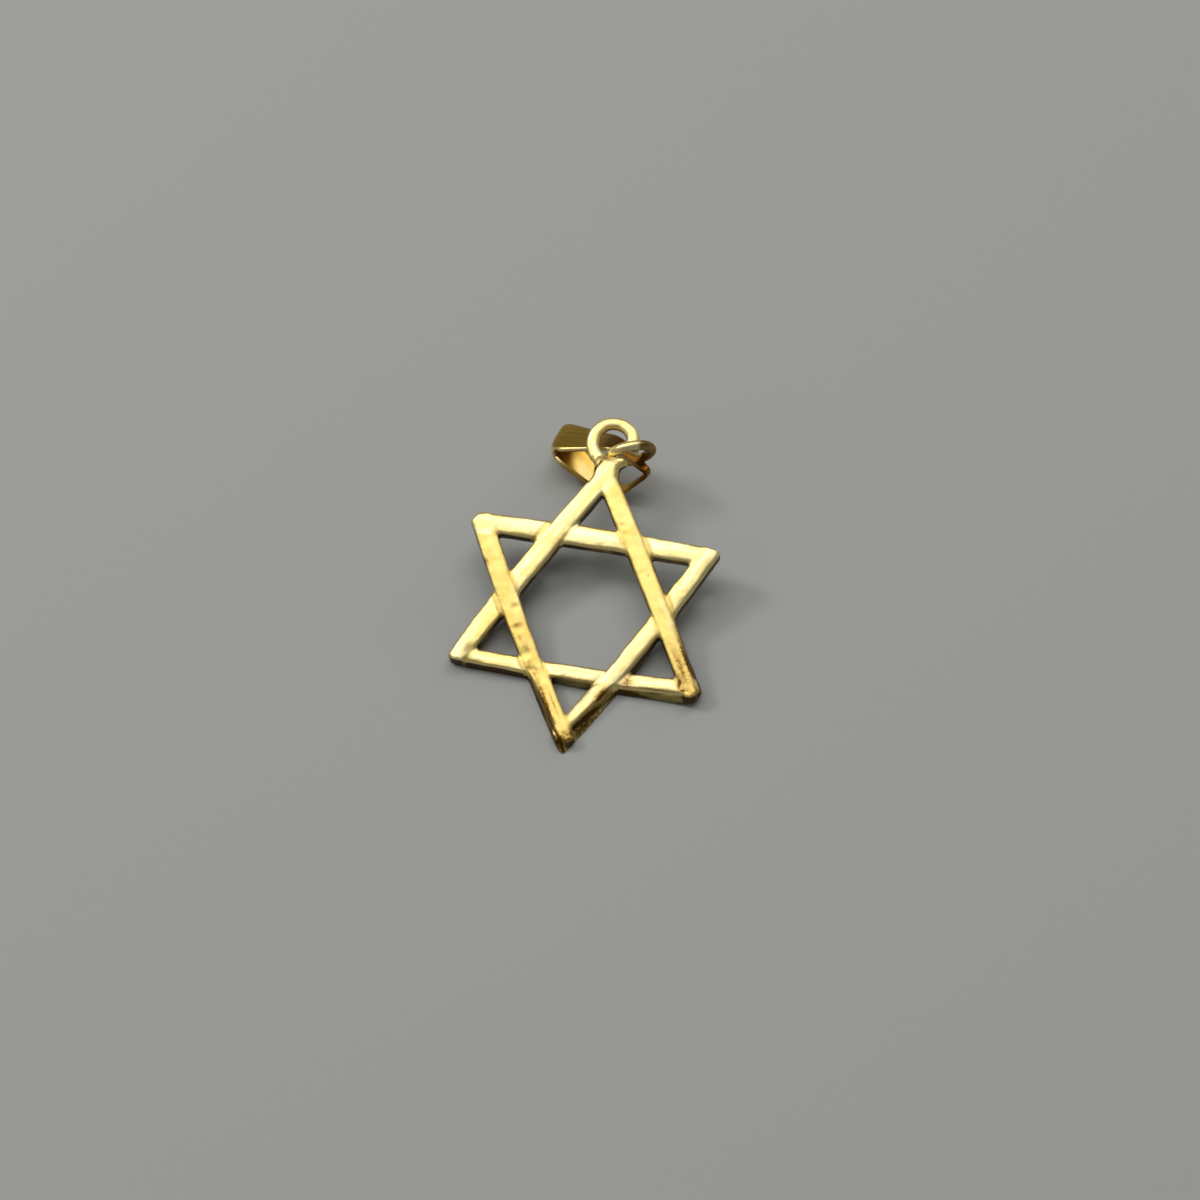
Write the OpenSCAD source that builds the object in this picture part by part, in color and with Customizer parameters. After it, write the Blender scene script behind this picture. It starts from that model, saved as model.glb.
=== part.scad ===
// Six-pointed star pendant of two interlaced triangles, with a soldered loop, a jump ring and a folded leaf bail.
// It lies on a flat surface: the lower bar's back edge touches it, and the bail under the loop props up the top.
// Every piece is placed in the star's own plane, with the star's back on z = 0, and all are then laid down as one.

/* [Star] */
// Distance from the star's centre to the outer side of each bar
edge_reach = 5.17; // [4.8:0.01:5.6]
// Width of the widest bars
bar_w = 1.25; // [0.9:0.05:1.5]
// Thickness of the star where a bar passes over another
star_t = 1.2; // [0.9:0.05:1.4]
// Width and depth of the bevel filed along a bar's front edges
bevel = 0.14; // [0.05:0.01:0.25]
// How far short of a sharp point the tips are cut blunt
tip_cut = 0.79; // [0.6:0.01:1.1]

/* [Loop] */
// Outer diameter of the loop at the star's top
loop_od = 3.45; // [3.4:0.01:3.6]
// Diameter of the loop's wire
loop_wire = 0.75; // [0.6:0.01:0.77]
// How deep the loop's rim is sunk into the top tip, where it is soldered
loop_sink = 0.475; // [0.35:0.005:0.6]
// Angle of the cut where the loop was closed round the jump ring
loop_cut = 24; // [10:1:28]

/* [Jump ring] */
// Diameter of the jump ring's wire
ring_wire = 0.68; // [0.5:0.01:0.7]
// Radius of the jump ring at the middle of its wire
ring_r = 1.42; // [1.4:0.01:1.45]
// Play between a wire and what hangs on it
play = 0.07; // [0.06:0.01:0.1]

/* [Bail] */
// Length of the bail from its fold to its narrow end
bail_len = 6.86; // [6.5:0.01:7.2]
// Depth of the bail's channel over its two strips
bail_depth = 2.88; // [2.7:0.01:3]
// Width of the leaf near the fold
leaf_w = 3; // [2.6:0.01:3.2]
// Width of the narrow end that the jump ring holds
neck_w = 0.5; // [0.4:0.01:0.52]
// Thickness of the bail's sheet
sheet_t = 0.3; // [0.22:0.01:0.31]

/* [Hidden] */
$fn = 48;

// Bars of each triangle: direction of the outer side, width and thickness as shares of bar_w and star_t
DIR = 0;
WIDTH = 1;
THICK = 2;
bars_up = [[150, 1, 0.94], [30, 0.92, 1], [-90, 0.87, 0.9]];
bars_down = [[90, 1, 0.89], [210, 0.93, 1], [-30, 0.87, 0.91]];
// Tips that are cut blunt: direction, reach as a share of tip_reach
REACH = 1;
tips_up = [[90, 1.065], [210, 0.99], [-30, 1.025]];
tips_down = [[-90, 1.07], [30, 1], [150, 1]];
bend_lap = 0.001;

point_reach = 2 * edge_reach;
tip_reach = point_reach - tip_cut;
bar_len = point_reach * sqrt(3);
loop_r = (loop_od - loop_wire) / 2;
cut_mid = -30;
loop_at = [0, tips_up[0][REACH] * tip_reach - loop_sink + loop_od / 2, loop_wire / 2];

// The jump ring hangs over the loop's right side, turned and leaned a little
ring_lean = 3;
ring_turn = 20;
ring_drop = loop_wire / 2 + ring_wire / 2 + play - ring_r * cos(ring_lean);
ring_at = loop_at + [0.9 * loop_r, -0.13 * loop_r, ring_drop];

// The bail's side view is the hull of three circles: the fold, the belly and the nose in the jump ring
fold_r = 0.18 * bail_depth;
belly_r = 0.684 * bail_depth;
nose_r = 0.17 * bail_depth;
belly_x = 0.413;
fold_at = [fold_r - bail_len, -fold_r];
belly_at = [-belly_x * bail_len, belly_r - bail_depth];
nose_at = [-nose_r, -nose_r];
taper = 0.85;
// The leaf's corners at the fold are rounded off over this share of its length, by this share of its width
corner_len = 0.13;
corner_cut = 0.45;
bail_turn = [-37.9, -2.5, -19.8];
bail_at = ring_at + ring_r * [0.968, -0.482, -0.31];

// Half the leaf's width at a distance x behind the nose
function along(x) = max(0, 1 + x / bail_len);
function rounding(f) = 1 - corner_cut * pow(max(0, 1 - f / corner_len), 2);
function leaf_half(x) = (neck_w + (leaf_w - neck_w) * (1 - pow(along(x), taper)) * rounding(along(x))) / 2;

function turn_x(a) = [[1, 0, 0], [0, cos(a), -sin(a)], [0, sin(a), cos(a)]];
function turn_y(a) = [[cos(a), 0, sin(a)], [0, 1, 0], [-sin(a), 0, cos(a)]];
function turn_z(a) = [[cos(a), -sin(a), 0], [sin(a), cos(a), 0], [0, 0, 1]];
function on_bail(p) = bail_at + turn_x(bail_turn[0]) * (turn_y(bail_turn[1]) * (turn_z(bail_turn[2]) * p));

// Points round the bail's outer rims, and the tilt at which the first of them meets the floor
rim = [
    for (c = [[fold_at, fold_r], [belly_at, belly_r], [nose_at, nose_r]])
        for (a = [0 : 360 / $fn : 359])
            for (side = [-1, 1])
                let (x = c[0][0] + c[1] * cos(a))
                on_bail([x, side * leaf_half(x), c[0][1] + c[1] * sin(a)])
];
tilt = max([for (p = rim) atan2(-p[2], p[1] + edge_reach)]);

// Reach of the laid-down pendant along y, from the hinge at the lower bar's back edge
function laid_y(p) = (p[1] + edge_reach) * cos(tilt) - p[2] * sin(tilt);
loop_top = laid_y(loop_at) + loop_r * cos(tilt) + loop_wire / 2;
far_y = max(loop_top, max([for (p = rim) laid_y(p)]));
near_y = edge_reach - tips_down[0][REACH] * tip_reach;

module lay_down() {
    translate([0, -(far_y + near_y) / 2, 0])
        rotate([tilt, 0, 0])
        translate([0, edge_reach, 0])
        children();
}

// A straight bar, its outer side at edge_reach from the centre
module bar(b) {
    inner = edge_reach - b[WIDTH] * bar_w;
    top = b[THICK] * star_t;
    rotate([90, 0, b[DIR]])
        linear_extrude(bar_len, center = true)
        polygon([
            [inner, 0], [edge_reach, 0],
            [edge_reach, top - bevel], [edge_reach - bevel, top],
            [inner + bevel, top], [inner, top - bevel]
        ]);
}

// All beyond a line across the given direction
module beyond(dir, reach) {
    big = 3 * point_reach;
    rotate([0, 0, dir]) translate([reach, -big / 2, -big / 2]) cube(big);
}

module triangle(bars, turn, tips) {
    difference() {
        intersection() {
            union() {
                for (b = bars) bar(b);
            }
            rotate([0, 0, turn]) cylinder(h = star_t, r = point_reach, $fn = 3);
        }
        for (t = tips) beyond(t[DIR], t[REACH] * tip_reach);
    }
}

// Bends a tip towards the front, about a line on the star's back face
module bend_tip(dir, angle) {
    difference() {
        children();
        beyond(dir, edge_reach);
    }
    rotate([0, 0, dir])
        translate([edge_reach, 0, 0])
        rotate([0, -angle, 0])
        translate([-edge_reach, 0, 0])
        rotate([0, 0, -dir])
        intersection() {
            children();
            beyond(dir, edge_reach - bend_lap);
        }
}

module loop() {
    translate(loop_at)
        rotate([0, 0, cut_mid + loop_cut / 2])
        rotate_extrude(angle = 360 - loop_cut)
        translate([loop_r, 0])
        circle(d = loop_wire);
}

module star() {
    color("gold") lay_down() {
        triangle(bars_up, 90, tips_up);
        bend_tip(-90, tilt) triangle(bars_down, -90, tips_down);
        loop();
    }
}

module jump_ring() {
    color("gold") lay_down()
        translate(ring_at)
        rotate([90 - ring_lean, 0, ring_turn])
        rotate_extrude()
        translate([ring_r, 0])
        circle(d = ring_wire);
}

module side_view(inset) {
    hull() {
        translate(fold_at) circle(fold_r - inset);
        translate(belly_at) circle(belly_r - inset);
        translate(nose_at) circle(nose_r - inset);
    }
}

module leaf() {
    steps = 20;
    rows = [for (i = [0 : steps]) -bail_len * (1 - i / steps)];
    polygon(concat(
        [for (x = rows) [x, leaf_half(x)]],
        [for (i = [steps : -1 : 0]) [rows[i], -leaf_half(rows[i])]]
    ));
}

module bail() {
    color("goldenrod") lay_down()
        translate(bail_at)
        rotate([bail_turn[0], 0, 0]) rotate([0, bail_turn[1], 0]) rotate([0, 0, bail_turn[2]])
        intersection() {
            rotate([90, 0, 0]) linear_extrude(leaf_w, center = true) difference() {
                side_view(0);
                side_view(sheet_t);
            }
            translate([0, 0, -2 * bail_depth]) linear_extrude(3 * bail_depth) leaf();
        }
}

star();
jump_ring();
bail();
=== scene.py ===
"""Six-pointed star pendant: the looks of the cast star, its jump ring and its folded bail.

The star and the bail are worked on the bench in millimetres, in the star's own plane with its back on z = 0,
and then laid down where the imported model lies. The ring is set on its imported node. Each is scaled to metres.
"""

import logging
import math
from collections.abc import Callable, Iterator
from contextlib import contextmanager
from dataclasses import dataclass, field
from enum import Enum

import bmesh
import bpy
import numpy as np
from mathutils import Matrix, Vector


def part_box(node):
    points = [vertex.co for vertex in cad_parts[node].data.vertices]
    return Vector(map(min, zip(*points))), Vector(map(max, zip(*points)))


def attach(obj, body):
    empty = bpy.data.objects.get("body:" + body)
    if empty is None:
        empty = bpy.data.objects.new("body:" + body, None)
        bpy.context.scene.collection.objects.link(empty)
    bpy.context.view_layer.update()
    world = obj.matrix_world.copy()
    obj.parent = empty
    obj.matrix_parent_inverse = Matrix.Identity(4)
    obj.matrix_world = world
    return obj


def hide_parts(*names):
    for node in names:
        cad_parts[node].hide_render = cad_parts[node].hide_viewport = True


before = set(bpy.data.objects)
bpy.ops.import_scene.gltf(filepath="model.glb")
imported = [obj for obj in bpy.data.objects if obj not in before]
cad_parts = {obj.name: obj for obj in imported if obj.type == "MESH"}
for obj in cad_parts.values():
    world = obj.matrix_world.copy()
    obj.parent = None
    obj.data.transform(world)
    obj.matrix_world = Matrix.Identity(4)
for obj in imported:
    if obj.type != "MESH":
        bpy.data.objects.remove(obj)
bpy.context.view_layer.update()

MM = 0.001
log = logging.getLogger("pendant")

Triple = tuple[float, float, float]
Colour = Triple

# The directions in which the star's top and bottom tips point
TOP = 90.0
BOTTOM = -90.0


class Axis(Enum):
    """The direction in which a ripple moves the surface."""

    X = "X"
    Y = "Y"
    OUTWARD = "NORMAL"


class Part(Enum):
    """What is picked in edit mode."""

    VERTS = "VERT"
    EDGES = "EDGE"


def deselect() -> None:
    """Leaves nothing selected."""
    for thing in bpy.context.selected_objects:
        thing.select_set(False)


def smooth_step(share: np.ndarray) -> np.ndarray:
    """Eases a share from 0 to 1, and holds it there beyond either end."""
    held = np.clip(share, 0.0, 1.0)
    return held * held * (3.0 - 2.0 * held)


def rising(values: np.ndarray, start: float, length: float) -> np.ndarray:
    """Eases from 0 at a start to 1 a length beyond it."""
    return smooth_step((values - start) / length)


def falling(values: np.ndarray, end: float, length: float) -> np.ndarray:
    """Eases from 1 a length before an end to 0 at the end."""
    return smooth_step((end - values) / length)


def heading(degrees: float) -> np.ndarray:
    """The unit vector in the star's plane at an angle from +X."""
    turn = math.radians(degrees)
    return np.array([math.cos(turn), math.sin(turn)])


class Workpiece:
    """A mesh on the bench, worked in millimetres."""

    def __init__(self, thing: bpy.types.Object, name: str) -> None:
        """Takes a new primitive on to the bench.

        Args:
            thing: The object that the last operator made.
            name: The name that it keeps.
        """
        self.thing = thing
        thing.name = name
        thing.data.name = name

    @classmethod
    def block(cls, name: str, size: Triple, middle: Triple) -> "Workpiece":
        """Adds a block and stretches it to size in edit mode.

        Args:
            name: The piece's name.
            size: Its full sizes.
            middle: Where its middle lies.

        Returns:
            The block.
        """
        deselect()
        bpy.ops.mesh.primitive_cube_add(size=1.0, location=middle)
        work = cls(bpy.context.object, name)
        with work.editing(everything=True):
            bpy.ops.transform.resize(value=size, center_override=middle)
        work.settle()
        return work

    def activate(self) -> None:
        """Makes this the only selected object, and the active one."""
        deselect()
        self.thing.select_set(True)
        bpy.context.view_layer.objects.active = self.thing

    def settle(self) -> None:
        """Puts the object's place, turn and scale into its mesh."""
        self.activate()
        bpy.ops.object.transform_apply(location=True, rotation=True, scale=True)

    @contextmanager
    def editing(self, everything: bool = False) -> Iterator[None]:
        """Edit mode with all or nothing selected, left again at the end."""
        self.activate()
        bpy.ops.object.mode_set(mode="EDIT")
        bpy.ops.mesh.select_all(action="SELECT" if everything else "DESELECT")
        yield
        bpy.ops.object.mode_set(mode="OBJECT")

    def pick(self, part: Part, test: Callable[..., bool]) -> None:
        """Selects the parts that pass a test, in edit mode.

        Args:
            part: What kind of element is picked.
            test: Says yes or no to an element.
        """
        bpy.ops.mesh.select_all(action="DESELECT")
        bpy.ops.mesh.select_mode(type=part.value)
        mesh = bmesh.from_edit_mesh(self.thing.data)
        for element in mesh.verts if part is Part.VERTS else mesh.edges:
            if test(element):
                element.select_set(True)
        mesh.select_flush_mode()
        bmesh.update_edit_mesh(self.thing.data)

    def round_edges(self, radius: float, segments: int) -> None:
        """Rounds every edge of the piece."""
        with self.editing(everything=True):
            bpy.ops.mesh.bevel(offset=radius, segments=segments, affect="EDGES")

    def turn(self, degrees: float) -> None:
        """Turns the whole piece about the star's axis."""
        self.thing.rotation_euler = (0.0, 0.0, math.radians(degrees))
        self.settle()

    def trim(self, point: Triple, outward: Triple) -> None:
        """Saws off all beyond a plane and closes the cut.

        Args:
            point: A point of the plane.
            outward: The side that is cut away.
        """
        with self.editing(everything=True):
            bpy.ops.mesh.bisect(plane_co=point, plane_no=outward, use_fill=True, clear_outer=True)

    def slice(self, point: Triple, across: Triple) -> None:
        """Adds a ring of edges where a plane crosses the piece."""
        with self.editing(everything=True):
            bpy.ops.mesh.bisect(plane_co=point, plane_no=across)

    def modify(self, kind: str, **settings: object) -> None:
        """Adds a modifier, sets it and applies it at once.

        Args:
            kind: The modifier's type.
            settings: Its settings by name.
        """
        self.activate()
        bpy.ops.object.modifier_add(type=kind)
        modifier = self.thing.modifiers[-1]
        for key, value in settings.items():
            setattr(modifier, key, value)
        bpy.ops.object.modifier_apply(modifier=modifier.name)

    def ripple(self, grain: float, height: float, axis: Axis = Axis.OUTWARD) -> None:
        """Makes the surface wander a little, as hand filing leaves it.

        Args:
            grain: Size of the waves.
            height: How far the surface moves in all.
            axis: The direction in which it moves.
        """
        clouds = bpy.data.textures.new(f"{self.thing.name}_ripple", "CLOUDS")
        clouds.noise_scale = grain
        clouds.noise_depth = 1
        self.modify("DISPLACE", texture=clouds, strength=height, direction=axis.value, texture_coords="LOCAL")
        bpy.data.textures.remove(clouds)

    def join(self, others: list["Workpiece"]) -> None:
        """Takes the other pieces into this one's mesh."""
        self.activate()
        for other in others:
            other.thing.select_set(True)
        bpy.ops.object.join()

    @staticmethod
    def rows(elements: bpy.types.bpy_prop_collection, name: str) -> np.ndarray:
        """A vector of every element as a row of an array."""
        flat = np.empty(len(elements) * 3, np.float32)
        elements.foreach_get(name, flat)
        return flat.reshape(-1, 3).astype(float)

    def points(self) -> np.ndarray:
        """Every vertex as a row of an array."""
        return self.rows(self.thing.data.vertices, "co")

    def shape(self, points: np.ndarray) -> None:
        """Moves every vertex to its row of an array."""
        self.thing.data.vertices.foreach_set("co", points.astype(np.float32).ravel())
        self.thing.data.update()

    def normals(self) -> np.ndarray:
        """Every vertex normal as a row of an array."""
        return self.rows(self.thing.data.vertex_normals, "vector")

    def grab(self, middle: Triple, reach: float, move: Triple) -> None:
        """Pulls the surface near a point, as a sculptor's grab brush does.

        Args:
            middle: The point that moves most.
            reach: The distance at which nothing moves any more.
            move: How far the middle moves.
        """
        points = self.points()
        far = np.linalg.norm(points - np.array(middle), axis=1)
        pull = smooth_step(1.0 - far / reach)
        self.shape(points + pull[:, None] * np.array(move))

    def note(self, name: str, values: np.ndarray) -> None:
        """Stores a number or a vector on each vertex for the finish to read."""
        kind = "FLOAT" if values.ndim == 1 else "FLOAT_VECTOR"
        content = "value" if values.ndim == 1 else "vector"
        layer = self.thing.data.attributes.new(name, kind, "POINT")
        layer.data.foreach_set(content, values.astype(np.float32).ravel())

    def transform(self, matrix: Matrix) -> None:
        """Moves the mesh by a matrix."""
        self.thing.data.transform(matrix)
        self.thing.data.update()

    def seat(self, node: str) -> None:
        """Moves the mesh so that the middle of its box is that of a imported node."""
        low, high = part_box(node)
        points = self.points()
        middle = Vector((points.min(axis=0) + points.max(axis=0)) / 2.0)
        self.transform(Matrix.Translation((low + high) / (2.0 * MM) - middle))

    def hand_over(self, node: str, slot: str, material: bpy.types.Material) -> bpy.types.Object:
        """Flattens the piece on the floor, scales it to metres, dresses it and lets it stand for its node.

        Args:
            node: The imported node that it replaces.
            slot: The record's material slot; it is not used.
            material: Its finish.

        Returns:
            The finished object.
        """
        points = self.points()
        points[:, 2] = np.maximum(points[:, 2], 0.0)
        self.shape(points)
        self.transform(Matrix.Scale(MM, 4))
        self.activate()
        bpy.ops.object.shade_smooth()
        self.thing.data.materials.clear()
        self.thing.data.materials.append(material)
        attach(self.thing, "root")
        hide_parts(node)
        return self.thing


class Value:
    """A shader socket that takes part in Python sums."""

    def __init__(self, shader: "Shader", socket: bpy.types.NodeSocket) -> None:
        """Wraps a socket of a shader."""
        self.shader = shader
        self.socket = socket

    def _math(self, operation: str, first: object, second: object) -> "Value":
        """One Math node on two sockets or numbers."""
        return self.shader.node("ShaderNodeMath", {"operation": operation}, {0: first, 1: second})

    def __add__(self, other: object) -> "Value":
        """The sum."""
        return self._math("ADD", self, other)

    __radd__ = __add__

    def __sub__(self, other: object) -> "Value":
        """The difference."""
        return self._math("SUBTRACT", self, other)

    def __mul__(self, other: object) -> "Value":
        """The product."""
        return self._math("MULTIPLY", self, other)

    __rmul__ = __mul__

    def held(self) -> "Value":
        """The value kept from 0 to 1."""
        return self.shader.node("ShaderNodeClamp", {}, {"Value": self})


class Shader:
    """A material under construction."""

    def __init__(self, name: str) -> None:
        """Starts an empty node tree."""
        self.material = bpy.data.materials.new(name)
        self.material.use_nodes = True
        self.tree = self.material.node_tree
        self.tree.nodes.clear()

    def node(
        self, kind: str, settings: dict[str, object], inputs: dict[object, object], output: object = 0
    ) -> Value:
        """Adds a node, sets it and feeds its sockets.

        Args:
            kind: The node's type.
            settings: Its own settings, which are set first.
            inputs: A number, a colour or a value for each socket.
            output: The socket that is handed back.

        Returns:
            The node's output.
        """
        made = self.tree.nodes.new(kind)
        for key, value in settings.items():
            setattr(made, key, value)
        for key, value in inputs.items():
            if isinstance(value, Value):
                self.tree.links.new(value.socket, made.inputs[key])
            else:
                made.inputs[key].default_value = value
        return Value(self, made.outputs[output])

    def attribute(self, name: str, output: str = "Fac") -> Value:
        """A number or a vector stored on the mesh."""
        return self.node("ShaderNodeAttribute", {"attribute_name": name}, {}, output)

    def place(self, stretch: Triple = (1.0, 1.0, 1.0), source: Value | None = None) -> Value:
        """Millimetres on the piece, or a stretched vector of its own.

        Args:
            stretch: A factor for each axis.
            source: A vector in millimetres instead of the object's own place.

        Returns:
            The vector.
        """
        scale = stretch
        if source is None:
            source = self.node("ShaderNodeTexCoord", {}, {}, "Object")
            scale = tuple(axis / MM for axis in stretch)
        return self.node("ShaderNodeMapping", {}, {"Vector": source, "Scale": scale})

    def noise(self, where: Value, scale: float, detail: float = 3.0, warp: float = 0.0) -> Value:
        """Soft noise at a number of grains for each millimetre."""
        inputs = {"Vector": where, "Scale": scale, "Detail": detail, "Distortion": warp}
        return self.node("ShaderNodeTexNoise", {}, inputs, "Fac")

    def ramp(self, value: Value, low: float, high: float) -> Value:
        """Eases a value from 0 at low to 1 at high."""
        inputs = {"Value": value, "From Min": low, "From Max": high}
        return self.node("ShaderNodeMapRange", {"interpolation_type": "SMOOTHSTEP"}, inputs)

    def mix(self, share: Value, first: object, second: object) -> Value:
        """Mixes two colours by a share."""
        inputs = {0: share, 6: self.paint(first), 7: self.paint(second)}
        return self.node("ShaderNodeMix", {"data_type": "RGBA"}, inputs, 2)

    @staticmethod
    def paint(colour: object) -> object:
        """A colour with the alpha that a socket wants."""
        return (*colour, 1.0) if isinstance(colour, tuple) else colour

    def bump(self, height: Value, depth: float, strength: float = 1.0) -> Value:
        """A bumped normal, its depth in millimetres."""
        inputs = {"Height": height, "Distance": depth * MM, "Strength": strength}
        return self.node("ShaderNodeBump", {}, inputs)

    def metal(self, colour: object, roughness: object, normal: Value) -> bpy.types.Material:
        """Closes the tree with a metal surface.

        Args:
            colour: Its colour.
            roughness: Its roughness.
            normal: Its bumped normal.

        Returns:
            The material.
        """
        inputs = {"Base Color": colour, "Metallic": 1.0, "Roughness": roughness, "Normal": normal}
        return self.surface(inputs)

    def surface(self, inputs: dict[object, object]) -> bpy.types.Material:
        """Closes the tree with a surface that takes these inputs."""
        shaded = self.node("ShaderNodeBsdfPrincipled", {}, inputs)
        made = self.tree.nodes.new("ShaderNodeOutputMaterial")
        self.tree.links.new(shaded.socket, made.inputs["Surface"])
        return self.material


@dataclass(frozen=True)
class CastGold:
    """Yellow gold as cast and filed by hand: streaked along the bars, with brown painted shade in its walls and
    sloped outer sides, and brown patches, most of them discolouring and some painted shade.
    """

    pale: Colour = (1.0, 0.89, 0.50)
    yellow: Colour = (0.98, 0.75, 0.24)
    deep: Colour = (0.84, 0.56, 0.12)
    umber: Colour = (0.36, 0.20, 0.040)
    # Deep brown, for the darkest discolouring and for the walls' painted shade.
    brown: Colour = (0.080, 0.040, 0.004)
    smooth: float = 0.36
    rough: float = 0.54

    def material(self) -> bpy.types.Material:
        """Builds the finish from the star's grain, matte, painted shade on walls, and brown patches that are
        partly discolouring and partly painted shade.
        """
        paint = Shader("cast_gold")
        grain = paint.attribute("grain", "Vector")
        matte, painted_shade, stain_and_shade = (paint.attribute(name) for name in ("matte", "painted_shade", "stain_and_shade"))
        streak = paint.noise(paint.place((0.22, 2.6, 1.0), grain), scale=1.4, detail=4.0, warp=0.3)
        band = paint.noise(paint.place((0.10, 0.9, 1.0), grain), scale=1.1, detail=2.0)
        cloud = paint.noise(paint.place(), scale=0.8, detail=3.0, warp=0.4)
        speck = paint.noise(paint.place(), scale=5.0, detail=4.0)
        light = paint.ramp(streak * 0.55 + band * 0.45 - matte * 0.22, 0.30, 0.62)
        colour = paint.mix(light, self.yellow, self.pale)
        colour = paint.mix(paint.ramp(cloud + matte * 0.10, 0.55, 0.80) * 0.55, colour, self.deep)
        mottle = paint.ramp(speck * 0.4 + streak * 0.6, 0.38, 0.60)
        # Brown patches: discolouring in most places, painted shade in some.
        colour = paint.mix((stain_and_shade * (0.60 + 0.9 * mottle)).held(), colour, self.umber)
        colour = paint.mix(paint.ramp(stain_and_shade * (0.75 + 0.4 * mottle), 0.50, 1.0) * 0.75, colour, self.brown)
        # Painted shade: walls and sloped outer sides darken to brown.
        walls = (painted_shade * (0.70 + 0.60 * paint.ramp(streak, 0.30, 0.62))).held()
        colour = paint.mix(walls, colour, self.brown)
        roughness = self.smooth + (self.rough - self.smooth) * (matte * 0.7 + speck * 0.3)
        height = streak * 0.45 + speck * (0.18 + 0.25 * matte)
        return paint.metal(colour, roughness, paint.bump(height, depth=0.035, strength=0.7))


@dataclass(frozen=True)
class WireGold:
    """Polished gold wire with faint drawing lines, with brown painted shade where it turns away from the front.
    """

    bright: Colour = (1.0, 0.88, 0.48)
    warm: Colour = (0.95, 0.68, 0.20)
    # Painted shade colour.
    brown: Colour = (0.22, 0.115, 0.015)

    def material(self) -> bpy.types.Material:
        """Builds the finish from the piece's own place and its painted shade."""
        paint = Shader("wire_gold")
        painted_shade = paint.attribute("painted_shade")
        cloud = paint.noise(paint.place(), scale=1.1, detail=3.0, warp=0.4)
        fine = paint.noise(paint.place(), scale=9.0, detail=3.0)
        colour = paint.mix(paint.ramp(cloud, 0.40, 0.66), self.bright, self.warm)
        # Painted shade: brown on the ring's right side and where it faces down or back.
        colour = paint.mix((painted_shade * (0.65 + 0.6 * cloud)).held(), colour, self.brown)
        roughness = 0.32 + 0.12 * fine
        height = fine * 0.3 + cloud * 0.7
        return paint.metal(colour, roughness, paint.bump(height, depth=0.012, strength=0.5))


@dataclass(frozen=True)
class SheetGold:
    """Rolled gold sheet, finely lined, with painted light and shade: olive outside, bright in the channel, brown
    at fold and nose, pale painted highlights on the rim.
    """

    # Painted highlight colour.
    pale: Colour = (1.0, 0.88, 0.46)
    # Painted light: the lit gold in the channel.
    bright: Colour = (1.0, 0.64, 0.10)
    # Painted shade: the strip's outside.
    olive: Colour = (0.48, 0.29, 0.030)
    # Painted shade at fold and nose.
    brown: Colour = (0.22, 0.075, 0.006)

    def material(self) -> bpy.types.Material:
        """Builds the finish from the strip's grain, its painted light in the channel, its painted highlights and
        its painted shade.
        """
        paint = Shader("sheet_gold")
        grain = paint.attribute("grain", "Vector")
        painted_shade, gleam = paint.attribute("painted_shade"), paint.attribute("gleam")
        lines = paint.noise(paint.place((0.12, 5.0, 1.0), grain), scale=1.6, detail=4.0)
        cloud = paint.noise(paint.place(), scale=0.9, detail=3.0, warp=0.5)
        # Painted light and shade: bright gold in the channel, olive outside; the rolling lines add some tone.
        shine = (gleam * 0.85 + 0.30 * paint.ramp(lines, 0.36, 0.62)).held()
        colour = paint.mix(shine, self.olive, self.bright)
        # Painted shade: brown at the fold, the nose and the outside towards the nose.
        colour = paint.mix((painted_shade * (0.55 + 0.8 * cloud)).held(), colour, self.brown)
        # Painted highlights: pale on the near rim and in a spot in the channel.
        colour = paint.mix(paint.attribute("glint"), colour, self.pale)
        roughness = 0.26 + 0.16 * cloud
        height = lines * 0.6 + cloud * 0.4
        return paint.metal(colour, roughness, paint.bump(height, depth=0.010, strength=0.4))


# Distances from a bar's middle: to where its row gives its sides, and to the bars that it crosses
STATION = 6.0
CROSSING = 3.0


@dataclass(frozen=True)
class Bar:
    """One bar of the star, in millimetres and degrees.

    Sides, foot and extra height are given at the station before the middle, at the middle and beyond it. The
    foot is how far the outer side slopes out at the back. The rises are those at the bars crossed before and
    beyond the middle. The shoulder rounds the front edges, the crown is how far the top falls off to its
    sides, and matte is how scratched it is, from 0 to 1.
    """

    name: str
    facing: float
    outer: Triple
    inner: Triple
    foot: Triple
    extra: Triple
    rises: tuple[float, float]
    shoulder: float
    crown: float
    matte: float

    @property
    def outward(self) -> np.ndarray:
        """The direction that its outer side faces."""
        return heading(self.facing)

    @property
    def run(self) -> np.ndarray:
        """The direction along it, a quarter turn on from outward."""
        return heading(self.facing + 90.0)

    @staticmethod
    def line(values: Triple, along: np.ndarray) -> np.ndarray:
        """The curve through the values at the three stations, at each place along the bar."""
        start, middle, end = values
        share = np.clip(along / STATION, -1.5, 1.5)
        return middle + (end - start) / 2.0 * share + ((start + end) / 2.0 - middle) * share ** 2

    def level(self, along: np.ndarray, thick: float) -> np.ndarray:
        """The height of its top at each place along it."""
        before = falling(np.abs(along + CROSSING), 1.9, 1.2)
        beyond = falling(np.abs(along - CROSSING), 1.9, 1.2)
        return thick + self.line(self.extra, along) + self.rises[0] * before + self.rises[1] * beyond

    def side(self, along: float) -> tuple[Triple, Triple]:
        """The upright plane along the bar's outer side near one place: a point and its outward direction."""
        step = 0.1
        places = np.array([along, along + step])
        here, ahead = (self.line(self.outer, places) + self.line(self.foot, places)).tolist()
        point = self.outward * here + self.run * along
        facing = self.outward - self.run * (ahead - here) / step
        return (*point, 0.0), (*facing, 0.0)


@dataclass(frozen=True)
class Dent:
    """A small mark: where it is on the star's plane, how wide, and how far it moves the surface."""

    x: float
    y: float
    z: float
    reach: float
    move: Triple


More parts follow.
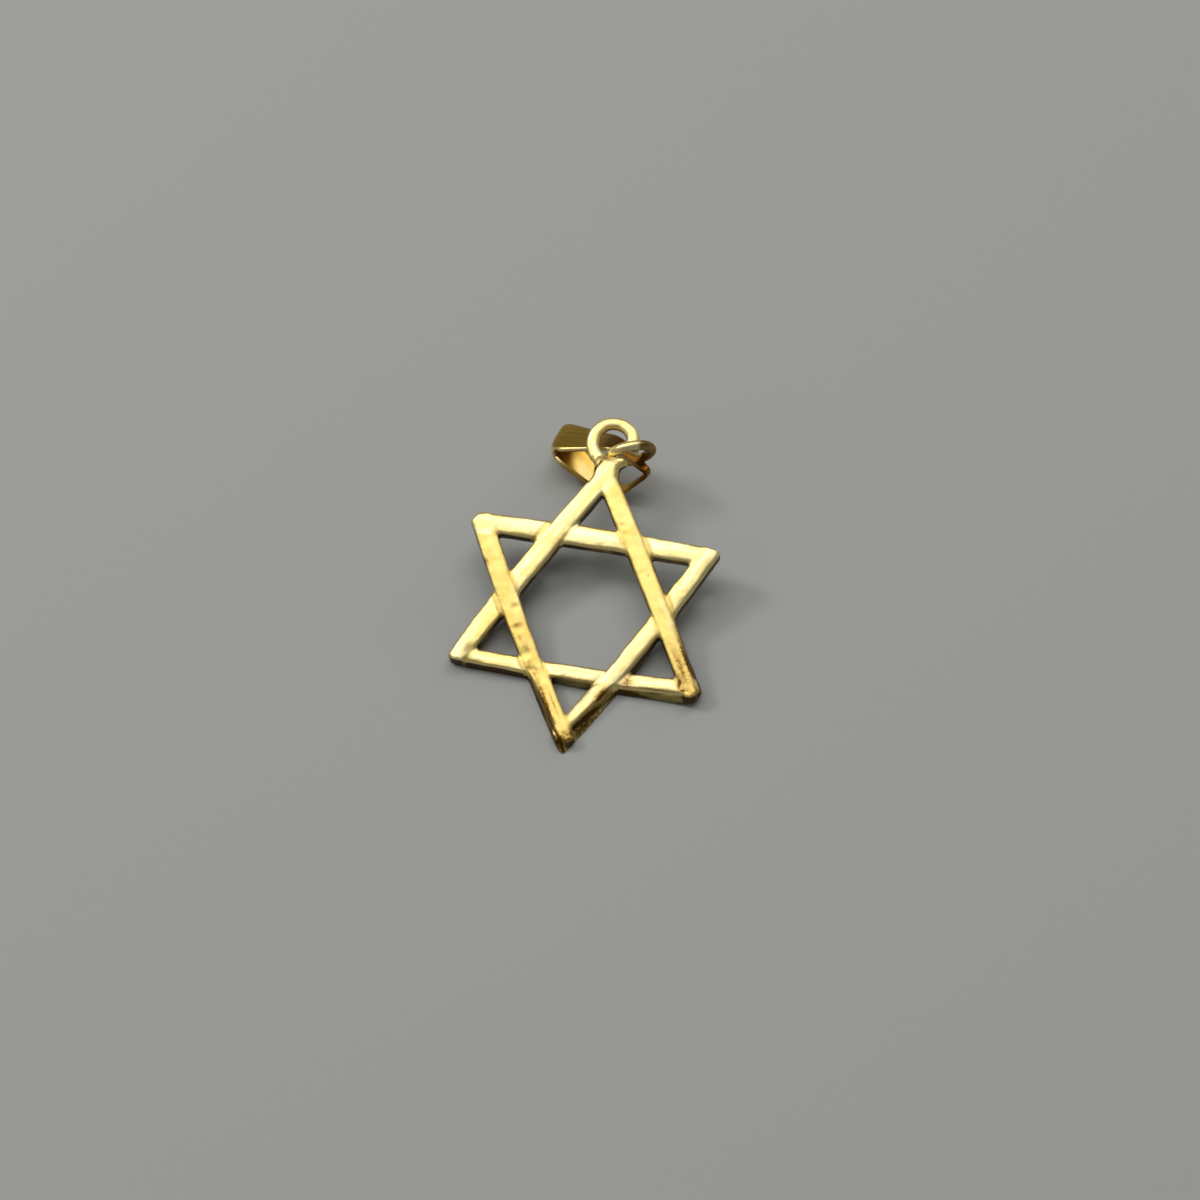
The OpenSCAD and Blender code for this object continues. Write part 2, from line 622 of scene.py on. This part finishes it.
@dataclass(frozen=True)
class StainAndShade:
    """A brown patch on a bar, discolouring in most places and painted shade in some: its middle along and across
    the bar, its half sizes and its strength.
    """

    facing: float
    along: float
    across: float
    length: float
    width: float
    strength: float


@dataclass
class StarPose:
    """How the star's plane lies: tilted about the lower bar's back edge, which touches the floor.

    The reach is that edge's distance from the star's centre, and near_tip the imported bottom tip's.
    """

    reach: float = 5.17
    near_tip: float = 10.2185
    tilt: float = 15.136

    def matrix(self) -> Matrix:
        """The move from the bench to the floor, in millimetres."""
        low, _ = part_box("star")
        hinge = low.y / MM + self.near_tip - self.reach
        lift = Matrix.Rotation(math.radians(self.tilt), 4, "X")
        return Matrix.Translation((0.0, hinge, 0.0)) @ lift @ Matrix.Translation((0.0, self.reach, 0.0))


@dataclass(frozen=True)
class OpenLoop:
    """The open loop on the top tip, of wire pressed towards a square and thinned and drawn up at its top."""

    rise: float = 11.4207
    radius: float = 1.35
    wire: float = 0.75
    start: float = -18.0
    sweep: float = 336.0
    breadth: float = 1.20
    squareness: float = 0.66
    thinned: float = 0.25
    drawn: float = 0.07

    def build(self) -> Workpiece:
        """Spins the loop from a round of wire.

        Returns:
            The loop, in place on the star's plane.
        """
        deselect()
        bpy.ops.mesh.primitive_circle_add(
            vertices=24, radius=self.wire / 2.0, fill_type="NGON",
            location=(self.radius, 0.0, 0.0), rotation=(math.pi / 2.0, 0.0, 0.0),
        )
        work = Workpiece(bpy.context.object, "loop")
        work.settle()
        points = work.points()
        points[:, 0] = self.radius + self.flattened(points[:, 0] - self.radius, self.breadth)
        points[:, 2] = self.flattened(points[:, 2], 1.0)
        work.shape(points)
        with work.editing(everything=True):
            bpy.ops.mesh.spin(
                steps=80, angle=-math.radians(self.sweep), center=(0.0, 0.0, 0.0), axis=(0.0, 0.0, 1.0)
            )
            bpy.ops.mesh.select_all(action="SELECT")
            bpy.ops.mesh.normals_make_consistent(inside=False)
        work.turn(self.start)
        points = work.points()
        top = rising(points[:, 1], 0.0, self.radius)
        spread, rim = np.hypot(points[:, 0], points[:, 1]), self.radius + 0.6 * self.wire
        thinner = (rim - (rim - spread) * (1.0 - self.thinned * top)) / spread
        points[:, :2] *= (thinner * (1.0 + self.drawn * top))[:, None]
        points[:, 1] += self.rise
        points[:, 2] += self.wire / 2.0
        work.shape(points)
        return work

    def flattened(self, across: np.ndarray, scale: float) -> np.ndarray:
        """A round wire's half section pressed towards a square one."""
        half = self.wire / 2.0
        return np.sign(across) * half * scale * np.abs(across / half) ** self.squareness


@dataclass
class CastStar:
    """The six bars and the loop, cast and soldered into one piece."""

    pose: StarPose
    loop: OpenLoop = OpenLoop()
    thick: float = 1.10
    grit: float = 0.075
    bars: list[Bar] = field(default_factory=lambda: [
        Bar("bar_ab", 150.0, (5.34, 5.37, 5.09), (3.94, 3.87, 3.73), (0.0, 0.0, 0.0),
            (0.0, 0.0, 0.06), (0.05, -0.06), 0.22, 0.06, 0.25),
        Bar("bar_ac", 30.0, (5.14, 5.24, 5.20), (3.96, 3.94, 3.86), (0.16, 0.12, 0.10),
            (0.05, 0.05, 0.0), (0.0, 0.0), 0.16, 0.03, 0.80),
        Bar("bar_bc", -90.0, (5.24, 5.40, 5.26), (4.02, 4.14, 4.04), (0.05, 0.08, 0.28),
            (-0.02, 0.0, -0.04), (-0.08, -0.08), 0.22, 0.07, 0.10),
        Bar("bar_ef", 90.0, (5.28, 5.43, 5.37), (3.93, 3.96, 3.92), (0.0, 0.0, 0.0),
            (0.05, 0.0, 0.05), (-0.08, -0.06), 0.22, 0.07, 0.10),
        Bar("bar_de", 210.0, (5.13, 5.21, 4.90), (3.72, 3.88, 3.94), (0.0, 0.0, 0.30),
            (0.07, 0.05, -0.05), (0.0, 0.0), 0.16, 0.03, 0.95),
        Bar("bar_df", -30.0, (5.00, 5.24, 5.02), (4.05, 3.92, 3.68), (0.62, 0.14, 0.05),
            (-0.10, 0.0, 0.07), (0.04, -0.08), 0.22, 0.07, 0.15),
    ])
    tips: dict[float, float] = field(default_factory=lambda: {
        TOP: 10.17, 210.0: 9.60, -30.0: 9.88, BOTTOM: 10.72, 30.0: 9.66, 150.0: 9.66,
    })

    def build(self) -> bpy.types.Object:
        """Models, marks, lays down and dresses the star.

        Returns:
            The finished object.
        """
        star = self.bar(self.bars[0])
        star.join([self.bar(bar) for bar in self.bars[1:]] + [self.loop.build(), self.stub(), self.solder()])
        star.thing.name = star.thing.data.name = "cast_star"
        self.cast(star)
        self.work_over(star)
        self.wear(star)
        self.remember(star)
        self.bend(star)
        star.transform(self.pose.matrix())
        return star.hand_over("star", "star_gold", CastGold().material())

    def bar(self, bar: Bar) -> Workpiece:
        """A bar with rounded shoulders, trimmed where its neighbours' outer sides cross it.

        Args:
            bar: Its table row.

        Returns:
            The bar, in place.
        """
        side = 2.0 * math.sqrt(3.0) * self.pose.reach
        width = bar.outer[1] - bar.inner[1]
        middle = (bar.outer[1] - width / 2.0, 0.0, self.thick / 2.0)
        work = Workpiece.block(bar.name, (width, side, self.thick), middle)
        with work.editing():
            work.pick(Part.EDGES, lambda edge: all(vert.co.z > self.thick / 2.0 for vert in edge.verts)
                      and abs(edge.verts[0].co.x - edge.verts[1].co.x) < width / 2.0)
            bpy.ops.mesh.bevel(offset=bar.shoulder, offset_type="OFFSET", segments=5, affect="EDGES")
            work.pick(Part.EDGES, lambda edge: abs(edge.verts[0].co.y - edge.verts[1].co.y) > side / 2.0)
            bpy.ops.mesh.subdivide(number_cuts=90)
        for share in (0.35, 0.5, 0.65):
            work.slice((bar.inner[1] + share * width, 0.0, 0.0), (1.0, 0.0, 0.0))
        self.forge(work, bar)
        work.turn(bar.facing)
        for turn, end in ((120.0, -8.0), (-120.0, 8.0)):
            work.trim(*self.facing_bar(bar.facing + turn).side(end))
            tip = heading(bar.facing + turn / 2.0)
            reach = self.tips[self.named(bar.facing + turn / 2.0)]
            work.trim((*(tip * reach), 0.0), (*tip, 0.0))
        return work

    def facing_bar(self, degrees: float) -> Bar:
        """The bar that faces an angle."""
        return next(bar for bar in self.bars if bar.facing == self.named(degrees))

    def forge(self, work: Workpiece, bar: Bar) -> None:
        """Draws a straight bar out to its own sides, its crowned top, its rises and its foot.

        Args:
            work: The bar, along y.
            bar: Its table row.
        """
        points = work.points()
        along = points[:, 1]
        share = (points[:, 0] - bar.inner[1]) / (bar.outer[1] - bar.inner[1])
        rise = points[:, 2] / self.thick
        outer, inner = bar.line(bar.outer, along), bar.line(bar.inner, along)
        foot = bar.line(bar.foot, along) * (1.0 - rise) * share
        points[:, 0] = inner + share * (outer - inner) + foot
        points[:, 2] = rise * (bar.level(along, self.thick) - bar.crown * (2.0 * share - 1.0) ** 2)
        work.shape(points)

    @staticmethod
    def named(degrees: float) -> float:
        """An angle as the tables write it, from -90 to 210 degrees."""
        turned = degrees % 360.0
        return turned - 360.0 if turned > 215.0 else turned

    def stub(self) -> Workpiece:
        """The pointed end of the loop's wire, where it stands out over the top tip."""
        work = Workpiece.block("stub", size=(0.95, 0.46, 0.62), middle=(0.58, self.loop.rise - 1.10, 0.56))
        work.round_edges(radius=0.14, segments=4)
        return work

    def solder(self) -> Workpiece:
        """The flat neck of solder that joins the loop to the top tip."""
        work = Workpiece.block("solder", size=(1.75, 1.60, 1.02), middle=(-0.08, self.tips[TOP] - 0.55, 0.51))
        work.round_edges(radius=0.34, segments=5)
        return work

    def cast(self, star: Workpiece) -> None:
        """Fuses the bars into one skin and softens it, as a casting is soft."""
        star.modify("REMESH", mode="VOXEL", voxel_size=self.grit, adaptivity=0.0)
        star.modify("SMOOTH", factor=0.5, iterations=7)
        star.ripple(grain=1.5, height=0.08, axis=Axis.X)
        star.ripple(grain=1.9, height=0.08, axis=Axis.Y)
        star.ripple(grain=0.6, height=0.03)

    def wear(self, star: Workpiece) -> None:
        """Rubs smooth the tips, their upper edges, the soldered neck and the bottom tip's front, in turn."""
        ends = [heading(angle) * reach for angle, reach in self.tips.items() if angle != TOP]
        front = [heading(BOTTOM) * (self.tips[BOTTOM] - 1.0)]
        neck = self.tips[TOP]

        def near(vert: bmesh.types.BMVert, places: list[np.ndarray], reach: float) -> bool:
            """Says whether a vertex is within reach of one of the places, seen from the front."""
            return any(math.dist(vert.co.xy, place) < reach for place in places)

        strokes = (
            (22, lambda vert: near(vert, ends, 0.9)),
            (10, lambda vert: vert.co.z > 0.6 and near(vert, ends, 2.2)),
            (22, lambda vert: neck - 1.8 < vert.co.y < neck + 0.2 and abs(vert.co.x) < 1.3),
            (6, lambda vert: near(vert, front, 1.2)),
        )
        with star.editing():
            for count, worn in strokes:
                star.pick(Part.VERTS, worn)
                bpy.ops.mesh.vertices_smooth(factor=0.5, repeat=count)

    def work_over(self, star: Workpiece) -> None:
        """Presses in the nicks, pits and the tips' small forms."""
        for dent in self.dents():
            star.grab((dent.x, dent.y, dent.z), dent.reach, dent.move)

    def dents(self) -> list[Dent]:
        """The marks on the star, tip by tip and along the bars."""
        top = 1.2
        return [
            Dent(-6.85, 2.05, 0.7, 0.55, (0.14, 0.02, 0.0)),
            Dent(-6.20, 1.10, 0.7, 0.60, (0.08, 0.0, 0.0)),
            Dent(-4.46, -0.90, top, 0.38, (0.0, 0.0, -0.06)),
            Dent(-3.96, -2.28, top, 0.45, (0.0, 0.0, -0.06)),
            Dent(-3.30, -3.90, top, 0.60, (0.05, 0.0, -0.07)),
            Dent(-2.60, -5.10, top, 0.60, (0.05, 0.0, -0.07)),
            Dent(-1.95, -6.20, top, 0.60, (0.05, 0.0, -0.08)),
            Dent(1.67, 5.76, top, 0.30, (0.0, 0.0, -0.04)),
            Dent(7.10, -4.10, 1.1, 0.40, (0.0, 0.0, -0.09)),
            Dent(7.25, -4.45, 1.1, 0.42, (0.0, 0.0, -0.12)),
            Dent(7.48, -4.80, 1.1, 0.40, (0.0, 0.0, -0.09)),
            Dent(7.85, -4.72, 1.1, 0.30, (0.0, 0.0, 0.12)),
            Dent(-6.95, -4.20, 1.1, 0.60, (0.0, 0.0, -0.07)),
            Dent(-0.10, -9.20, 1.1, 0.70, (0.0, 0.0, -0.12)),
            Dent(0.15, -9.75, 1.1, 0.55, (0.0, 0.0, 0.08)),
        ]

    def stains_and_shade(self) -> list[StainAndShade]:
        """The brown patches and streaks that don't come from the walls' painted shade; most are discolouring,
        some are painted shade on bar_de's outer wall and bar_df's outer slope near the bottom tip, and a painted
        shadow of bar_df on bar_bc.
        """
        return [
            StainAndShade(210.0, -0.30, 4.65, 0.12, 0.30, 0.60),
            StainAndShade(210.0, 0.60, 4.75, 0.22, 0.12, 0.45),
            StainAndShade(210.0, 1.40, 4.55, 0.45, 0.30, 0.35),
            StainAndShade(210.0, 3.30, 4.60, 0.25, 0.35, 0.45),
            StainAndShade(210.0, 5.70, 4.85, 2.10, 0.24, 0.85),
            StainAndShade(210.0, 6.10, 4.38, 1.10, 0.09, 0.60),
            # Painted shade on bar_de's outer wall near the bottom tip.
            StainAndShade(210.0, 7.60, 5.20, 0.80, 0.30, 1.00),
            StainAndShade(210.0, 8.65, 4.80, 0.75, 0.90, 1.00),
            StainAndShade(210.0, -5.10, 5.00, 0.30, 0.12, 0.55),
            StainAndShade(-30.0, -8.80, 4.70, 0.75, 0.80, 1.00),
            StainAndShade(-30.0, -4.30, 5.00, 0.90, 0.36, 0.90),
            # Painted shade along bar_df's outer slope near the bottom tip.
            StainAndShade(-30.0, -6.30, 5.35, 2.30, 0.42, 1.00),
            StainAndShade(30.0, 0.34, 4.70, 0.09, 0.07, 0.50),
            StainAndShade(30.0, 3.70, 4.26, 0.10, 0.08, 0.55),
            StainAndShade(30.0, -5.90, 5.02, 2.00, 0.20, 1.00),
            StainAndShade(30.0, -6.60, 4.45, 1.90, 0.60, 0.70),
            StainAndShade(30.0, -8.10, 4.90, 0.60, 0.22, 0.60),
            StainAndShade(-90.0, 7.22, 4.35, 0.17, 0.55, 1.00),
            StainAndShade(-90.0, 7.55, 4.92, 0.45, 0.16, 1.00),
            # Painted shadow of bar_df on bar_bc where it crosses over.
            StainAndShade(-90.0, 3.75, 4.75, 0.42, 0.70, 0.75),
            StainAndShade(-90.0, 5.60, 5.15, 1.60, 0.10, 0.60),
            StainAndShade(-90.0, -2.90, 4.60, 0.16, 0.35, 0.45),
            StainAndShade(-90.0, -7.00, 4.70, 0.50, 0.30, 0.25),
            StainAndShade(150.0, 7.10, 4.10, 0.40, 0.25, 0.40),
        ]

    def stain_and_shade_level(self, plane: np.ndarray) -> np.ndarray:
        """How brown the patches of discolouring and painted shade make each place on the star's plane, from 0 to
        1.
        """
        stain_and_shade = np.zeros(len(plane))
        for mark in self.stains_and_shade():
            bar = self.facing_bar(mark.facing)
            along = (plane @ bar.run - mark.along) / mark.length
            across = (plane @ bar.outward - mark.across) / mark.width
            stain_and_shade = np.maximum(stain_and_shade, mark.strength * np.exp(-along ** 2 - across ** 2))
        return stain_and_shade

    def remember(self, star: Workpiece) -> None:
        """Stores grain, matte, painted shade and the brown patches while the star still lies flat.

        The highest bar at a place gives its grain and matte. Walls and sloped outer sides get painted shade,
        less so where two bars cross.
        """
        inner_margin, outer_margin, half_length = 0.12, 0.30, 9.2
        crossings_reach, crossings_floor = 6.9, 0.5
        points, normals = star.points(), star.normals()
        plane = points[:, :2]
        best = np.full(len(points), -1.0)
        grain = np.zeros_like(points)
        matte, slope, covered = (np.zeros(len(points)) for _ in range(3))
        for index, bar in enumerate(self.bars):
            across, along = plane @ bar.outward, plane @ bar.run
            outer = bar.line(bar.outer, along)
            inside = (across > bar.line(bar.inner, along) - inner_margin) & (across < outer + outer_margin)
            covered += inside
            score = np.where(inside & (np.abs(along) < half_length), bar.level(along, self.thick), -1.0)
            chosen = score > best
            best = np.where(chosen, score, best)
            grain[chosen] = np.column_stack([along, across, np.full(len(points), 7.0 * index)])[chosen]
            matte[chosen] = bar.matte
            slope[chosen] = rising(across - outer, 0.02, 0.14)[chosen]
        ring = points - np.array([0.0, self.loop.rise, 0.0])
        distance = np.hypot(ring[:, 0], ring[:, 1])
        around = np.arctan2(ring[:, 1], ring[:, 0]) * self.loop.radius
        on_loop = plane[:, 1] > self.tips[TOP] - 0.1
        grain[on_loop] = np.column_stack([around, distance, np.full(len(points), 50.0)])[on_loop]
        matte[on_loop] = 0.2
        spread = np.hypot(plane[:, 0], plane[:, 1])
        crossing = (covered > 1) & (spread < crossings_reach) & (points[:, 2] > crossings_floor)
        # Painted shade: walls and sloped outer sides darken, less where two bars cross and on the loop.
        wall = np.maximum(falling(normals[:, 2], 0.62, 0.50), slope) * np.where(crossing, 0.22, 0.93)
        star.note("grain", grain)
        star.note("matte", matte)
        star.note("painted_shade", np.where(on_loop, 0.30 * wall, wall))
        star.note("stain_and_shade", self.stain_and_shade_level(plane))

    def bend(self, star: Workpiece) -> None:
        """Bends the bottom tip flat on to the floor, and lifts the lower right tip a little."""
        points = star.points()
        points = self.bent(points, BOTTOM, hinge=self.pose.reach, degrees=self.pose.tilt, softness=0.45)
        points = self.bent(points, -30.0, hinge=6.6, degrees=5.0, softness=1.0)
        star.shape(points)

    @staticmethod
    def bent(points: np.ndarray, facing: float, hinge: float, degrees: float, softness: float) -> np.ndarray:
        """Bends all beyond a line of the star's plane towards its front.

        Args:
            points: The mesh's points.
            facing: The direction of the tip.
            hinge: The line's distance from the centre.
            degrees: The bend.
            softness: Half the length over which it turns.

        Returns:
            The moved points.
        """
        out = np.array([*heading(facing), 0.0])
        angle = math.radians(degrees)
        far = points @ out - (hinge - softness)
        radius = 2.0 * softness / angle
        turned = np.clip(far / (2.0 * softness), 0.0, 1.0) * angle
        past = np.maximum(far - 2.0 * softness, 0.0)
        height = points[:, 2]
        level = radius * np.sin(turned) + past * np.cos(turned) - height * np.sin(turned)
        rise = radius * (1.0 - np.cos(turned)) + past * np.sin(turned) + height * np.cos(turned)
        moved = points + out * (level - far)[:, None]
        moved[:, 2] = rise
        return np.where((far > 0.0)[:, None], moved, points)


@dataclass
class JumpRing:
    """The closed ring of wire that links the loop and the bail."""

    pose: StarPose
    radius: float = 1.42
    wire: float = 0.68
    lean: float = 3.0
    turned: float = 20.0

    def build(self) -> bpy.types.Object:
        """Models the ring round its own axis, then turns and seats it.

        Returns:
            The finished object.
        """
        deselect()
        bpy.ops.mesh.primitive_torus_add(
            major_radius=self.radius, minor_radius=self.wire / 2.0, major_segments=144, minor_segments=36
        )
        ring = Workpiece(bpy.context.object, "linking_ring")
        ring.transform(Matrix.Rotation(math.radians(90.0 - self.lean), 4, "X"))
        ring.transform(Matrix.Rotation(math.radians(self.turned), 4, "Z"))
        ring.transform(Matrix.Rotation(math.radians(self.pose.tilt), 4, "X"))
        ring.seat("jump_ring")
        ring.ripple(grain=0.9, height=0.02)
        self.remember(ring)
        return ring.hand_over("jump_ring", "ring_gold", WireGold().material())

    def remember(self, ring: Workpiece) -> None:
        """Stores the ring's painted shade: on its right side, and wherever it faces down or back."""
        points, normals = ring.points(), ring.normals()
        right = (points[:, 0] - points[:, 0].mean()) / self.radius
        under = falling(normals[:, 2], -0.05, 0.45)
        # Painted shade on the right side and on the faces turned down or back.
        ring.note("painted_shade", np.maximum(0.95 * rising(right, 0.38, 0.16), 0.9 * under))


@dataclass
class FoldedBail:
    """The leaf-shaped strip, folded to a channel for the chain, whose narrow end the ring holds.

    Fold, belly and nose are the radii of the side view's circles as shares of the depth. The swell makes the
    far side fuller. The lean and the lift draw the far corner out past the fold.
    """

    pose: StarPose
    length: float = 6.86
    depth: float = 2.88
    fold: float = 0.18
    belly: float = 0.684
    nose: float = 0.17
    belly_place: float = 0.413
    leaf: float = 3.0
    neck: float = 0.5
    sheet: float = 0.3
    taper: float = 0.85
    swell: float = 0.25
    lean: float = 0.80
    lift: float = 0.16
    place: Triple = (2.5896, 10.5608, -0.6983)
    corner_length: float = 0.13
    corner_cut: float = 0.30
    turns: Triple = (-37.9, -2.5, -19.8)
    columns: int = 40

    def outline(self, angle: float) -> tuple[float, float]:
        """The side view's point that faces a direction, on the hull of its three circles.

        Args:
            angle: The direction, in radians from the nose.

        Returns:
            Its place along and across the channel.
        """
        fold, belly, nose = self.fold * self.depth, self.belly * self.depth, self.nose * self.depth
        rounds = [
            (fold - self.length, -fold, fold),
            (-self.belly_place * self.length, belly - self.depth, belly),
            (-nose, -nose, nose),
        ]
        facing = (math.cos(angle), math.sin(angle))
        x, y, radius = max(rounds, key=lambda r: r[0] * facing[0] + r[1] * facing[1] + r[2])
        return x + radius * facing[0], y + radius * facing[1]

    def half_width(self, x: np.ndarray) -> np.ndarray:
        """Half the leaf's width at each place along it."""
        share = np.maximum(0.0, 1.0 + x / self.length)
        corner = 1.0 - self.corner_cut * np.maximum(0.0, 1.0 - share / self.corner_length) ** 2
        return (self.neck + (self.leaf - self.neck) * (1.0 - share ** self.taper) * corner) / 2.0

    def band(self) -> Workpiece:
        """The strip as a band without a wall, 1 mm wide and closed round the channel."""
        deselect()
        bpy.ops.mesh.primitive_circle_add(
            vertices=160, radius=1.0, location=(0.0, -0.5, 0.0), rotation=(math.pi / 2.0, 0.0, 0.0)
        )
        band = Workpiece(bpy.context.object, "folded_leaf")
        band.settle()
        points = band.points()
        for row in points:
            row[0], row[2] = self.outline(math.atan2(row[2], row[0]))
        band.shape(points)
        with band.editing(everything=True):
            bpy.ops.mesh.extrude_region_move(TRANSFORM_OT_translate={"value": (0.0, 1.0, 0.0)})
            band.pick(Part.EDGES, lambda edge: abs(edge.verts[0].co.y - edge.verts[1].co.y) > 0.5)
            bpy.ops.mesh.subdivide(number_cuts=11)
        for step in range(1, self.columns):
            band.slice((-self.length * step / self.columns, 0.0, 0.0), (1.0, 0.0, 0.0))
        return band

    def leaf_points(self, points: np.ndarray) -> np.ndarray:
        """The band's points at the leaf's width, with its front strip's far side and corner drawn out."""
        along, across, height = points.T
        share = -along / self.length
        far = np.sqrt(np.maximum(0.0, across + 0.5)) * rising(height, -1.3, 0.8)
        fuller = self.swell * rising(share, 0.10, 0.30) * rising(height, -1.0, 1.0)
        width = 2.0 * self.half_width(along) * (1.0 + np.where(across > 0.0, fuller, 0.0))
        drawn = self.lean * far * rising(share, 0.45, 0.55)
        return np.column_stack([along - drawn, across * width, height + self.lift * drawn])

    def build(self) -> bpy.types.Object:
        """Shapes the leaf, gives it its wall and lays it in its place.

        Returns:
            The finished object.
        """
        bail = self.band()
        bail.shape(self.leaf_points(bail.points()))
        with bail.editing(everything=True):
            bpy.ops.mesh.remove_doubles(threshold=0.002)
            bpy.ops.mesh.normals_make_consistent(inside=False)
        bail.modify("SOLIDIFY", thickness=self.sheet, offset=-1.0, use_even_offset=True)
        self.remember(bail)
        for axis, turn in zip("ZYX", reversed(self.turns)):
            bail.transform(Matrix.Rotation(math.radians(turn), 4, axis))
        bail.transform(self.pose.matrix() @ Matrix.Translation(self.place))
        bail.ripple(grain=1.6, height=0.03)
        return bail.hand_over("bail", "bail_gold", SheetGold().material())

    def remember(self, bail: Workpiece) -> None:
        """Stores the strip's grain, its painted light in the channel, its painted highlights and its painted
        shade.
        """
        points, normals = bail.points(), bail.normals()
        along, across, height = points.T
        middle = np.array([-0.5 * self.length, 0.0, -0.5 * self.depth])
        outward = np.einsum("ij,ij->i", points - middle, normals)
        inside = smooth_step(0.5 - outward / 0.4)
        share = -along / self.length
        nose = falling(share, 0.30, 0.25)
        fold = rising(share, 0.74, 0.16)
        # Painted highlight along the upper strip's near rim.
        rim = rising(-normals[:, 1], 0.45, 0.25) * (1.0 - nose) * rising(height, -1.3, 0.3)
        # Painted shade on the outside of the upper strip towards the nose.
        shade = (1.0 - inside) * falling(share, 0.60, 0.15) * rising(height, -1.0, 0.3)
        # Painted highlight spot in the channel.
        spot = np.exp(-(((along + 4.7) / 0.7) ** 2 + ((across + 0.5) / 0.8) ** 2))
        bail.note("grain", points)
        # Painted light in the channel, away from the nose.
        bail.note("gleam", inside * (1.0 - nose))
        # Painted shade at the fold, the nose and the outside near the nose.
        bail.note("painted_shade", np.clip(0.85 * inside * fold + 0.9 * np.maximum(nose, shade), 0.0, 1.0))
        bail.note("glint", np.clip(0.8 * rim + 0.6 * spot * inside, 0.0, 1.0))


@dataclass(frozen=True)
class Softbox:
    """An area light: where it stands from the star's middle, its size and its strength."""

    name: str
    towards: Triple
    distance: float
    size: float
    power: float


@dataclass
class Studio:
    """Plain floor, soft lights and the camera at the photo's angle."""

    azimuth: float = 10.0
    elevation: float = 60.0
    distance: float = 0.221
    middle: Triple = (0.0, -1.98 * MM, 2.51 * MM)
    aside: float = 1.086 * MM
    above: float = 0.27 * MM
    lens: float = 100.0
    sensor: float = 36.0
    floor_size: float = 1.6
    floor_grey: Colour = (0.40, 0.405, 0.385)
    room_grey: Colour = (0.30, 0.30, 0.28)
    room_light: float = 0.55
    boxes: tuple[Softbox, ...] = (
        Softbox("overhead", (-0.20, 0.14, 1.0), 0.55, 0.50, 1.20),
        Softbox("upper_left", (-1.0, 0.19, 1.0), 0.50, 0.12, 0.55),
        Softbox("upper_right", (0.23, 0.62, 1.0), 0.50, 0.22, 0.30),
        Softbox("behind", (0.55, 0.74, 0.42), 0.50, 0.16, 0.16),
        Softbox("lower_left", (-1.0, -0.75, 0.60), 0.50, 0.20, 0.06),
    )

    def build(self) -> None:
        """Sets the floor, the lights, the camera and the tone."""
        self.lay_floor()
        for box in self.boxes:
            self.hang(box)
        self.set_camera()
        self.set_surroundings()

    def lay_floor(self) -> None:
        """A plain pale floor under the pendant."""
        deselect()
        bpy.ops.mesh.primitive_plane_add(size=self.floor_size)
        floor = bpy.context.object
        floor.name = floor.data.name = "floor"
        paint = Shader("floor_grey")
        inputs = {"Base Color": paint.paint(self.floor_grey), "Roughness": 0.85}
        floor.data.materials.append(paint.surface(inputs))

    def hang(self, box: Softbox) -> None:
        """Hangs one area light, turned to the star."""
        data = bpy.data.lights.new(box.name, "AREA")
        data.shape = "DISK"
        data.size = box.size
        data.energy = box.power
        towards = Vector(box.towards).normalized()
        self.stand(data, Vector(self.middle) + towards * box.distance, towards)

    @staticmethod
    def stand(data: bpy.types.ID, place: Vector, back: Vector) -> bpy.types.Object:
        """Sets a light or the camera up at a place, facing away from a direction."""
        thing = bpy.data.objects.new(data.name, data)
        bpy.context.scene.collection.objects.link(thing)
        thing.location = place
        thing.rotation_mode = "QUATERNION"
        thing.rotation_quaternion = back.to_track_quat("Z", "Y")
        return thing

    def set_camera(self) -> None:
        """Places the camera on the photo's line of sight."""
        turn, rise = math.radians(self.azimuth), math.radians(self.elevation)
        right = Vector((math.cos(turn), math.sin(turn), 0.0))
        back = Vector((math.sin(turn) * math.cos(rise), -math.cos(turn) * math.cos(rise), math.sin(rise)))
        up = back.cross(right)
        data = bpy.data.cameras.new("camera")
        data.lens = self.lens
        data.sensor_width = self.sensor
        data.clip_start = 0.01
        place = Vector(self.middle) + right * self.aside + up * self.above + back * self.distance
        bpy.context.scene.camera = self.stand(data, place, back)

    def set_surroundings(self) -> None:
        """A dim grey room and a plain tone curve."""
        world = bpy.data.worlds.new("studio")
        world.use_nodes = True
        backdrop = world.node_tree.nodes["Background"].inputs
        backdrop["Color"].default_value = Shader.paint(self.room_grey)
        backdrop["Strength"].default_value = self.room_light
        bpy.context.scene.world = world
        bpy.context.scene.view_settings.view_transform = "Standard"


def main() -> None:
    """Builds the pendant piece by piece, then the studio round it."""
    logging.basicConfig(level=logging.INFO, format="%(message)s")
    pose = StarPose()
    for maker in (CastStar(pose), JumpRing(pose), FoldedBail(pose)):
        piece = maker.build()
        triangles = sum(len(face.vertices) - 2 for face in piece.data.polygons)
        log.info("%s: %d triangles", piece.name, triangles)
    Studio().build()


if __name__ == "__main__":
    main()
